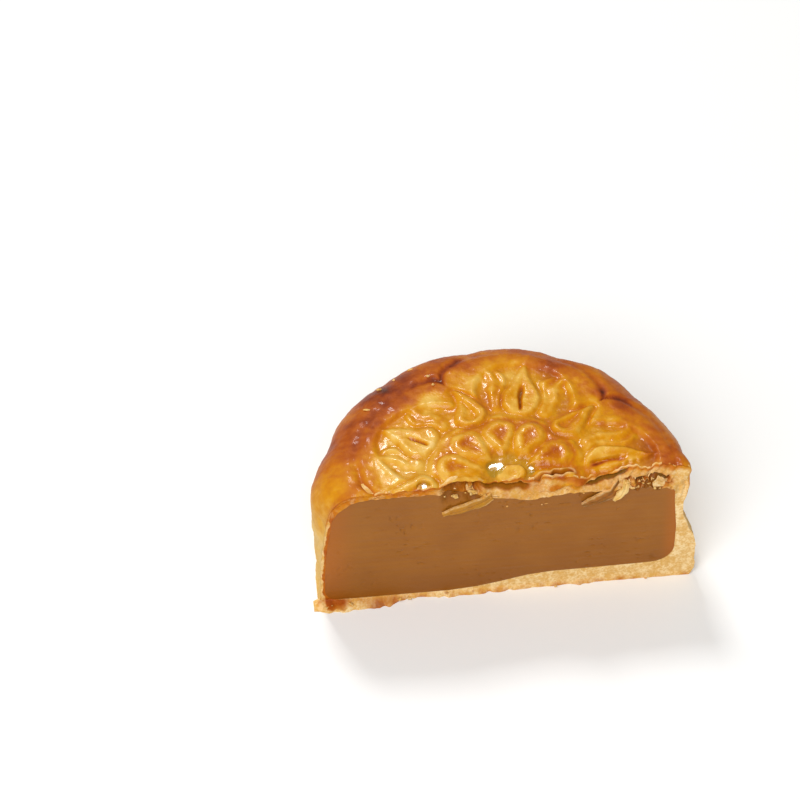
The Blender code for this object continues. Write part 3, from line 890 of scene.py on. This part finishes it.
baked, pooled_and_crack_shade, glazed = browning(outside, carved)
# Painted shade in the knife's crack: its floor and walls are made browner and more olive than the top around them.
baked = baked + 0.45 * ridge(split, 0.45)
pooled_and_crack_shade = pooled_and_crack_shade + 0.3 * ridge(split, 0.45)
glazed = glazed * (1 - ridge(split, 0.7))
opened = 0.5 * ridge(split - 0.85, 0.25) + 0.3 * smooth(26, 12, outside[..., 2])
print("browning from", round(float(baked.min()), 2), "to", round(float(baked.max()), 2))

# %% Build the shell
RECESS_DEPTH, RECESS_DEEPER = 1.2, 2.6


def overhead(z):
    """0 at the sides of the cut and 1 in the band of pastry over the paste."""
    return smooth(24, 31, z)


def end_strips(front, back):
    """Strips that join two sheets along their first and their last row."""
    return [np.stack([front[end], back[end]]) for end in (0, -1)]


def cut_loop(grid):
    """The closed edge of a half shell in the plane of the cut: down its right end and up its left."""
    return np.concatenate([grid[0], grid[-1][-2:0:-1]])


outer_loop, inner_loop = cut_loop(outside), cut_loop(hollow)
recess = outer_loop * 0.5 + inner_loop * 0.5
under_crack = smooth(5.5, 6.5, recess[:, 0]) * smooth(15.5, 14.5, recess[:, 0])
recess[:, 1] += RECESS_DEPTH + RECESS_DEEPER * overhead(recess[:, 2]) * (1 - under_crack)
behind = np.stack([outer_loop, recess, inner_loop])
behind = np.concatenate([behind, behind[:, :1]], axis=1)
shell = make_piece(
    "baked_shell",
    [outside, hollow, behind],
    dict(baked=[baked, 0.3, 0.3], pool=[pooled_and_crack_shade, 0, 0], torn=[opened, 1, 1], glaze=[glazed, 0, 0]),
    crust,
)
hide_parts("pastry")

# %% [markdown]
# ## The torn edge
#
# Where the knife broke through, the pastry shows its crumb: pale, flaky and short. It is a ribbon
# between the edge of the skin and the edge of the paste, made finer than the shell behind it so
# that layers, gaps and crumbs can be pushed in and out. Along the foot the same ribbon swells
# forward into the ragged lip that the knife dragged out.

# %% Ribbon between skin and paste
LEDGE = (
    (-42.2, 0.2), (-41.2, 1.9), (-38, 2.9), (-33, 2.7), (-28, 2.4), (-25, 2.2), (-22.8, 0.9), (-20, 0.4),
    (-13.5, 1.0), (-10, 0.9), (-4, 0.7), (1, 0.6), (6, 0.3), (15, 0.3), (17.4, 0.7), (20, 0.2), (40, 0.2),
)
RIBBON_STEPS, RIBBON_ROWS, RIBBON_THICK = 1300, 26, 0.7
GAP_DEPTH, LEDGE_HEIGHT, BACK_ROWS = 2.4, 1.3, [0, 8, 17, RIBBON_ROWS]


def resample(first, second, count):
    """Both edges at the same count of steps, which are even along the line midway between them."""
    first, second = np.vstack([first, first[:1]]), np.vstack([second, second[:1]])
    run = np.concatenate([[0], np.cumsum(np.linalg.norm(np.diff(first + second, axis=0), axis=1))])
    places = np.linspace(0, run[-1], count + 1)
    return [join(*(np.interp(places, run, numbers) for numbers in edge.T)) for edge in (first, second)]


def torn_features(x, z, level):
    """Where the torn band gapes, crumbles, bulges and shows glaze: four numbers from 0 to 1 for each point."""
    over = overhead(z)
    wave = 0.05 * wander(x, 0.0, 0.0, 1.7, 61)
    line = 0.29 + wave - 0.012 * np.clip(-4 - x, 0, 10)
    split = ridge(level - line, 0.11) * smooth(-14.5, -12, x) * smooth(5.6, 3.5, x)
    hole = smooth(0.16, 0.3, level) * smooth(-14.5, -12.5, x) * smooth(-4.5, -7.5, x)
    notch = ridge(level - 0.38 + 0.04 * (x - 18.3) - 1.6 * wave, 0.085)
    notch = notch * smooth(16.5, 18, x) * smooth(26.5, 25, x)
    pits = smooth(24.5, 27, x) * smooth(36.5, 34, x) * smooth(0.42, 0.6, level) * smooth(1.0, 0.93, level)
    crumbly = np.clip(hole + pits, 0, 1) * over
    hollowed = smooth(0.4, 0.12, crumble(x, z * 1.4, 0.0, 1.5, 62))
    gap = over * np.clip(1.4 * split + 1.4 * notch + 0.75 * crumbly * hollowed, 0, 1)
    middle = 0.6 - 0.065 * (x - 9)
    bulge = ridge((level - middle) / 0.17, 1.0) * smooth(8.2, 10, x) * smooth(17.5, 16, x) * over
    drip = ridge(x - 15.7 + 1.2 * level, 1.3) * smooth(0.9, 0.5, level) * over
    return gap, crumbly, bulge, drip


def torn_ribbon(outer, inner_edge):
    """Rows from the skin to the paste, moved along y by gaping layers, crumbs and the lip at the foot."""
    share = steps(RIBBON_ROWS)[:, None]
    rows = outer + (inner_edge - outer) * share[..., None]
    thick = np.linalg.norm(inner_edge - outer, axis=1)
    x, y, z = np.moveaxis(rows, -1, 0)
    over = overhead(z)
    room = np.clip(thick / 3.0, 0, 1) * np.sqrt(np.abs(np.sin(math.pi * share)))
    level = share + 0.05 * wander(x, z, 0.0, 2.5, 60)
    gap, crumbly, bulge, drip = torn_features(x, z, level)
    layers = np.sin(2 * math.pi * (1.8 * level + 0.35 * wander(x, z, 0.0, 2.5, 63))) * (1 - crumbly)
    push = GAP_DEPTH * gap - 0.22 * over * layers - 0.9 * bulge - 0.5 * drip
    grains = 0.3 + 0.5 * crumbly + 0.5 * smooth(-13, -16, x)
    push = push + grains * crumble(x, z, 0.0, 1.1, 64) * (0.5 + 0.5 * over) - 0.3 * crumbly
    y += push * room + dug(x, z) * smooth(0.12, 0.3, share)
    foot = smooth(LEDGE_HEIGHT, 0.1, z) * smooth(12, 6, z)
    lip = along_points(LEDGE, x)
    lip = lip + 0.3 * wander(x, 0.0, 0.0, 1.1, 65) * smooth(0.1, 0.5, lip)
    y -= foot * np.clip(lip, 0.05, None) * np.sqrt(np.clip(1 - (z / LEDGE_HEIGHT) ** 2, 0, 1))
    z += foot * (1 - np.abs(2 * share - 1)) * 0.25 * wander(x, z, 1.0, 1.4, 66)
    x -= 1.3 * foot * smooth(-37.5, -41, x)
    lower = over * smooth(0.72, 1.0, share) * (1 - np.clip(dug(x, 33.0 + 0 * x), 0, 1))
    ragged = 0.2 + 0.55 * smooth(24, 28, x)
    z -= lower * (0.25 + ragged * wander(x, 0.0, 0.0, 0.9, 67))
    y -= 0.25 * lower
    return rows, level


flat_loop = join(inner_loop[:, 0], CUT_Y, inner_loop[:, 2])
outer_edge, inner_edge = resample(outer_loop, flat_loop, RIBBON_STEPS)
ribbon, ribbon_level = torn_ribbon(outer_edge, inner_edge)
print("ribbon:", ribbon.shape[:2], "deepest", round(float((ribbon[..., 1] - CUT_Y).max()), 2), "mm")

# %% Colour and close the ribbon


def ribbon_values(rows, level):
    """How brown and how bare each point is, and its olive tint: the gaps and crumbly pits get painted shade,
    browner and olive, and it is golden at the skin and the foot.
    """
    x, z = rows[..., 0], rows[..., 2]
    over = overhead(z)
    gap, crumbly, bulge, drip = torn_features(x, z, level)
    gap = np.maximum(gap, torn_features(x, z, level - 0.1)[0])
    mottle = crumble(x, z, 0.0, 1.8, 70)
    left = smooth(-13, -17, x) * over
    skin = over * smooth(0.22, 0.0, level + 0.1 * mottle)
    golden = over * smooth(41, 34, x) * np.clip(0.75 + 0.6 * mottle, 0, 1)
    rim = smooth(0.35, 0.6, level + 0.5 * mottle) * smooth(-33, -36, x) * smooth(31, 27, z)
    foot = smooth(1.8, 0.2, z) * np.clip(0.45 + 0.8 * crumble(x, z, 0.0, 1.6, 71), 0, 1)
    foot = np.clip(foot + 0.5 * smooth(2.4, 0.4, z) * smooth(-20, -26, x), 0, 1) * (1 - 0.5 * rim)
    foot = foot * (1 - smooth(-28, -33, x + 2 * mottle) * smooth(1.0, 0.5, z + 0.3 * mottle))
    side = smooth(-36.5, -39, x) * (1 - over) * 0.3
    # The gap and crumbly terms are painted shade in the gaps and pits; the other terms are the crumb's own colour.
    brown = 0.33 + 0.17 * skin + 0.12 * golden + 0.45 * gap + 0.36 * foot
    brown = brown + 0.08 * left + 0.1 * bulge + 0.08 * drip
    brown = np.minimum(brown + 0.3 * rim, 0.74) + 0.2 * gap * smooth(5, 8, x)
    brown = brown + 0.1 * crumbly * (mottle > 0.1)
    torn = 1 - 0.85 * skin - 0.62 * golden - 0.95 * gap - 0.85 * foot - side - 0.6 * left - bulge - drip
    torn = torn - 0.3 * crumbly - 0.8 * rim + 0.5 * left * smooth(0.05, 0.35, mottle)
    return brown, np.clip(torn, 0, 1), 0.4 * gap


ribbon_brown, ribbon_torn, ribbon_gap_shade = ribbon_values(ribbon, ribbon_level)
back_row = ribbon.copy()
back_row[..., 1] = np.maximum(back_row[..., 1], CUT_Y) + RIBBON_THICK
torn_edge = make_piece(
    "torn_edge",
    [ribbon, back_row[BACK_ROWS], *end_strips(ribbon, back_row)],
    dict(
        baked=[ribbon_brown, 0.3, ribbon_brown[:1], ribbon_brown[-1:]],
        # The ribbon's pool numbers are painted shade in its gaps.
        pool=[ribbon_gap_shade, 0, 0, 0],
        torn=[ribbon_torn, 1, ribbon_torn[:1], ribbon_torn[-1:]],
        glaze=[0.15, 0, 0.1, 0.1],
    ),
    crust,
)
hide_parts("pastry")

# %% [markdown]
# ## Flakes
#
# Three thin leaves of pastry were dragged down over the paste and still hang from the torn edge.
# Each is a sheet along a bent path, narrow at its tip, curled across its width and wavy at its
# rim, with a front and a back.

# %% Shape the flakes
FLAKE_ROWS, FLAKE_COLUMNS, FLAKE_THICK = 40, 15, 0.4


def flake(name, tip, edge, root, width, tone, wash, seed):
    """A leaf along the path tip, edge, root: its width follows half a sine and its middle is raised."""
    share = np.linspace(0, 1, FLAKE_ROWS)
    places = np.array([0, 0.8, 1.0])
    path = join(*(np.interp(share, places, three) for three in zip(tip, edge, root)))
    way = np.array(edge, float) - tip
    aside = np.cross(way, (0, 1, 0))
    aside = aside / np.linalg.norm(aside)
    across = np.linspace(-1, 1, FLAKE_COLUMNS)
    half = 0.5 * width * (0.25 + 0.75 * np.sin(math.pi * np.clip(share, 0.03, 0.75) / 1.1) ** 0.7)
    half = half * (1 + 0.14 * wander(share * 9, seed, 0.0, 1.0, seed))
    middle = path[:, None] + aside * (half[:, None] * across)[..., None]
    curl = 0.5 * np.sin(math.pi * np.clip(share / 0.8, 0, 1))[:, None] * (1 - across**2)
    rough = 0.1 * wander(middle[..., 0], middle[..., 2], 0.0, 0.9, seed + 1) - 0.35 * ridge(across, 0.16)
    front, back = middle.copy(), middle.copy()
    front[..., 1] -= FLAKE_THICK + curl + rough
    back[..., 1] += 0.1 - 0.5 * curl
    front[..., 2] += 0.15 * wander(middle[..., 0], middle[..., 2], 3.0, 1.1, seed + 2)
    rim = end_strips(front, back) + end_strips(front.swapaxes(0, 1), back.swapaxes(0, 1))
    brown = tone + 0.15 * wander(middle[..., 0], middle[..., 2], 5.0, 1.3, seed + 3)
    pale = 0.06 + 0.5 * smooth(0.7, 1.0, np.abs(across)) * np.ones_like(brown)
    values = dict(baked=[brown] + [0.4] * 5, pool=[wash] + [0] * 5, torn=[pale] + [0.5] * 5, glaze=0.1)
    piece = make_piece(name, [front, back, *rim], values, crust)
    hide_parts("pastry")
    return piece


front_y, back_y = CUT_Y - 0.45, CUT_Y + 1.2
flake("left_flake", (-13.7, front_y, 28.2), (-5.0, front_y, 31.4), (-3.2, CUT_Y, 32.4), 2.5, 0.6, 0.5, 81)
flake("right_flake", (16.2, front_y, 27.6), (22.6, front_y, 30.9), (24.4, back_y, 32.2), 2.7, 0.9, 0.3, 91)
flake("pale_flake", (22.9, front_y, 28.4), (25.2, front_y, 31.6), (25.8, back_y, 32.6), 1.9, 0.08, 0.0, 95)

# %% [markdown]
# ## Crumbs
#
# Cutting short pastry always leaves crumbs. Each one is a small lumpy ball of a few dozen faces,
# and all of them are kept in one mesh. They lie in the gap under the torn skin, along the lower
# edge of the band, on the face of the paste, along the foot and on the shoulder.

# %% Scatter the crumbs
# Each band: how many, from and to along x, from and to in height (0, 0 follows the paste's top
# edge), place in y, size and browning.
CRUMB_BANDS = (
    (9, (-13.2, -6.0), (32.4, 33.6), -1.7, 0.5, 0.25),
    (12, (25.0, 35.5), (31.4, 33.4), -2.0, 0.27, 0.25),
    (14, (-12.0, 36.0), (0, 0), -2.7, 0.26, 0.38),
    (2, (-1.5, 0.5), (28.6, 29.2), -2.6, 0.2, 0.45),
    (4, (7.5, 11.5), (27.4, 29.2), -2.6, 0.2, 0.42),
    (6, (-40.0, -20.0), (0.3, 1.2), -3.9, 0.5, 0.4),
    (8, (-18.0, 34.0), (0.4, 1.2), -3.1, 0.32, 0.4),
)
ON_SHOULDER = ((-16.8, 33.6), (-20.6, 31.2), (-24.2, 28.6), (-13.2, 29.8), (-12.4, 27.0), (-27.5, 22.0))


def ball(middle, size, seed):
    """A lumpy ball: radius times 1 plus a random field, squashed a little along one axis."""
    turn = np.linspace(0, 2 * math.pi, 9)[None, :]
    tilt = np.linspace(0, math.pi, 6)[:, None]
    shape = join(np.sin(tilt) * np.cos(turn), np.sin(tilt) * np.sin(turn), np.cos(tilt))
    lumps = 1 + 0.7 * wander(*np.moveaxis(shape, -1, 0) * 1.3, 1.0, seed)
    lumps[0], lumps[-1] = lumps[0].mean(), lumps[-1].mean()
    lumps[:, -1] = lumps[:, 0]
    long = 1 + 0.6 * wander(seed, 0.0, 0.0, 0.37, 5)
    return middle + shape * lumps[..., None] * size * np.array([1.2 * long, 0.7, 0.7])


def crumb_places():
    """Middle, size and brownness of each crumb, from bands of the cut with even random spacing."""
    rng = np.random.default_rng(7)
    for count, (x0, x1), (z0, z1), y, size, brown in CRUMB_BANDS:
        for x in rng.uniform(x0, x1, count):
            z = rng.uniform(z0, z1) if z1 else along_points(PASTE_TOP, x) + rng.normal(0, 0.35)
            yield (x, y + rng.normal(0, 0.2), z), size * rng.uniform(0.35, 1.4), brown + rng.normal(0, 0.15)
    skin_points = outside[outside[..., 2] > 26]
    for x, y in ON_SHOULDER:
        nearest = np.argmin(np.hypot(skin_points[:, 0] - x, skin_points[:, 1] - y))
        yield skin_points[nearest] + (0, 0, 0.15), 0.4, 0.25


places = list(crumb_places())
crumb_piece = make_piece(
    "crumbs",
    [ball(np.array(middle), size, 200 + index) for index, (middle, size, _) in enumerate(places)],
    dict(baked=[brown for *_, brown in places], pool=0, torn=0.6, glaze=0.1),
    crust,
)
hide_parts("pastry")

# %% [markdown]
# ## Lotus seed paste
#
# The paste is cooked until it is smooth and a little elastic, and the knife leaves it flat with
# faint level streaks, a few pits and a dull sheen. Its face is a grid that runs from the outline
# to a line along its middle, so that the rows follow the edge. The block behind the face fills
# the hollow.

# %% Material of the paste


def paste_material():
    """Smooth paste with level streaks, darker near its ends and its foot, with painted shade in the hole that the
    knife dug.
    """
    material, tree, shader = blank("lotus_paste")
    place = node(tree, "ShaderNodeTexCoord", {}, {}, "Object")
    stretch = node(tree, "ShaderNodeMapping", {}, {"Vector": place, "Scale": (60.0, 400.0, 1100.0)})
    streak = node(tree, "ShaderNodeTexNoise", {}, {"Vector": stretch, "Scale": 1.0, "Detail": 3.0})
    cloud, grain, edge = noise(tree, 9.0, 2.0), noise(tree, 0.35, 2.0), attribute(tree, "edge")
    low = attribute(tree, "low")
    base = blend(tree, (cloud * 0.6 + streak * 0.4).step(0.3, 0.7), tint(146, 86, 12), tint(157, 96, 18))
    base = blend(tree, edge * 0.8, base, tint(172, 94, 8))
    # low also darkens the hole that the knife dug: painted shade.
    base = blend(tree, low * 0.5, base, tint(130, 72, 4))
    speck = grain.step(0.66, 0.78)
    plug(shader, "Base Color", blend(tree, speck * 0.25, base, tint(120, 66, 26)))
    plug(shader, "Specular IOR Level", 0.3)
    plug(shader, "Roughness", (0.5 + (streak - 0.5) * 0.3 + (grain - 0.5) * 0.2).limit(0.3, 0.75))
    roughen(tree, shader, streak * 0.6 + grain * 0.4, 0.3, 0.00015)
    return material


paste = paste_material()
print("paste nodes:", len(paste.node_tree.nodes))

# %% The block and its face
PASTE_RINGS, PASTE_STEPS, PASTE_INSET = (130, 16, 46, 14, 110), 30, 0.02
FACE_ROWS, CORE_HEIGHT, CORE_ENDS = 52, 17.5, (-20, 19)


def cut_face(loop):
    """Rows from the outline to a level line along the middle, whose points lie at whole millimetres to meet."""
    flat = join(loop[:, 0], CUT_Y, loop[:, 2])
    core = join(np.round(np.clip(loop[:, 0], *CORE_ENDS)), CUT_Y, CORE_HEIGHT)
    return flat + (core - flat) * steps(FACE_ROWS)[:, None, None]


def face_marks(rows):
    """Moves the face along y: broad waves, level knife streaks, and a few small pits."""
    x, z = rows[..., 0], rows[..., 2]
    inside = smooth(0, 0.05, steps(FACE_ROWS))[:, None]
    waves = 0.14 * wander(x, z, 0.0, 11.0, 101)
    streaks = 0.05 * wander(x / 14, z, 0.0, 0.7, 102)
    spots = wander(x, z, 0.0, 0.75, 103)
    crowd = smooth(-0.1, 0.6, wander(x, z, 0.0, 6.0, 104)) + 1.2 * ridge(x - 6, 5.0) * ridge(z - 21, 3.0)
    pits = 0.3 * smooth(0.55, 0.85, spots) * np.clip(crowd, 0, 1)
    rows[..., 1] += inside * (waves + streaks + pits) + dug(x, z)
    return rows


block = inner(np.linspace(0, math.pi, PASTE_STEPS + 1), PASTE_INSET, PASTE_RINGS)
for end in (block[0], block[-1]):
    end[:, 1] += dug(end[:, 0], end[:, 2])
loop = cut_loop(block)
loop = np.concatenate([loop, loop[:1]])
face = face_marks(cut_face(loop))
face[-1, :, 1] = CUT_Y


def paste_values(grid):
    """1 near the left and right ends of the face for edge; for low, 1 towards the foot, and more in the hole that
    the knife dug, as painted shade.
    """
    x, z = grid[..., 0], grid[..., 2]
    ends = smooth(-31, -38.5, x) * 0.9 + smooth(33.5, 36.5, x)
    return ends, smooth(13, 2, z) + 1.1 * np.clip(dug(x, z), 0, 1)


edges, low_and_hole_shade = zip(paste_values(face), paste_values(block))
filling = make_piece("paste_block", [face, block], dict(edge=edges, low=low_and_hole_shade), paste)
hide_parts("lotus_paste")

# %% Gather both boxes and finish
visual_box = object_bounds()
boxes = {"cad": [list(map(float, corner)) for corner in cad_box], "visual": [list(map(float, corner)) for corner in visual_box]}
print("visual box:", boxes["visual"])
